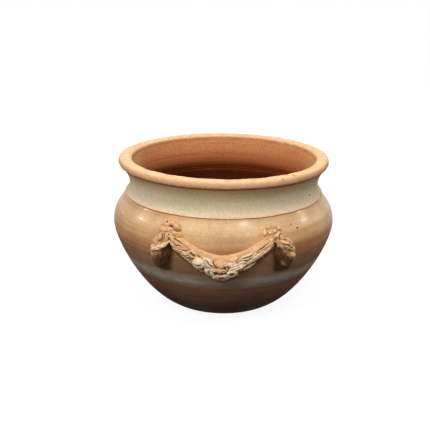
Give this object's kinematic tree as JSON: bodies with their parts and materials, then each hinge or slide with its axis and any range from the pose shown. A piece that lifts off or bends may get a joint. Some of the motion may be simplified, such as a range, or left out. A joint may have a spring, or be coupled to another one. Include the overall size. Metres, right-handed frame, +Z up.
{
  "type": "terracotta planter bowl",
  "caption": "Wide round terracotta planter bowl with a rolled rim, a drawn-in neck and applied leaf and fruit festoons.",
  "frame": {"origin": "middle of the foot, on the surface that the bowl stands on", "axes": "+Z up the bowl's axis; the festoons are centred on -Y, the front, and on +Y, the back"},
  "size_m": [0.4, 0.4382, 0.2683],
  "materials": {
    "clay_base": "matte",
    "clay_belly": "satin",
    "clay_collar": "matte",
    "clay_rim": "matte",
    "clay_rope": "matte",
    "clay_sprig": "matte"
  },
  "bodies": {
    "root": {"base_slab": "clay_base", "belly_wall": "clay_belly", "neck_collar": "clay_collar", "rim_coil": "clay_rim", "front_swag_rope": "clay_rope", "front_tail_left_core": "clay_rope", "front_tail_right_core": "clay_rope", "front_swag_fruit_01": "clay_sprig", "front_swag_fruit_02": "clay_sprig", "front_swag_fruit_03": "clay_sprig", "front_swag_fruit_04": "clay_sprig", "front_swag_leaf_01": "clay_sprig", "front_swag_leaf_02": "clay_sprig", "front_swag_leaf_03": "clay_sprig", "front_swag_leaf_04": "clay_sprig", "front_swag_leaf_05": "clay_sprig", "front_swag_leaf_06": "clay_sprig", "front_swag_leaf_07": "clay_sprig", "front_swag_leaf_08": "clay_sprig", "front_swag_leaf_09": "clay_sprig", "front_swag_leaf_10": "clay_sprig", "front_swag_leaf_11": "clay_sprig", "front_swag_leaf_12": "clay_sprig", "front_swag_leaf_13": "clay_sprig", "front_tail_left_leaf_1": "clay_sprig", "front_tail_left_leaf_2": "clay_sprig", "front_tail_left_fruit": "clay_sprig", "front_knot_left": "clay_sprig", "front_tail_right_leaf_1": "clay_sprig", "front_tail_right_leaf_2": "clay_sprig", "front_tail_right_fruit": "clay_sprig", "front_knot_right": "clay_sprig", "back_swag_rope": "clay_rope", "back_tail_left_core": "clay_rope", "back_tail_right_core": "clay_rope", "back_swag_fruit_01": "clay_sprig", "back_swag_fruit_02": "clay_sprig", "back_swag_fruit_03": "clay_sprig", "back_swag_fruit_04": "clay_sprig", "back_swag_leaf_01": "clay_sprig", "back_swag_leaf_02": "clay_sprig", "back_swag_leaf_03": "clay_sprig", "back_swag_leaf_04": "clay_sprig", "back_swag_leaf_05": "clay_sprig", "back_swag_leaf_06": "clay_sprig", "back_swag_leaf_07": "clay_sprig", "back_swag_leaf_08": "clay_sprig", "back_swag_leaf_09": "clay_sprig", "back_swag_leaf_10": "clay_sprig", "back_swag_leaf_11": "clay_sprig", "back_swag_leaf_12": "clay_sprig", "back_swag_leaf_13": "clay_sprig", "back_tail_left_leaf_1": "clay_sprig", "back_tail_left_leaf_2": "clay_sprig", "back_tail_left_fruit": "clay_sprig", "back_knot_left": "clay_sprig", "back_tail_right_leaf_1": "clay_sprig", "back_tail_right_leaf_2": "clay_sprig", "back_tail_right_fruit": "clay_sprig", "back_knot_right": "clay_sprig"}
  },
  "joints": []
}
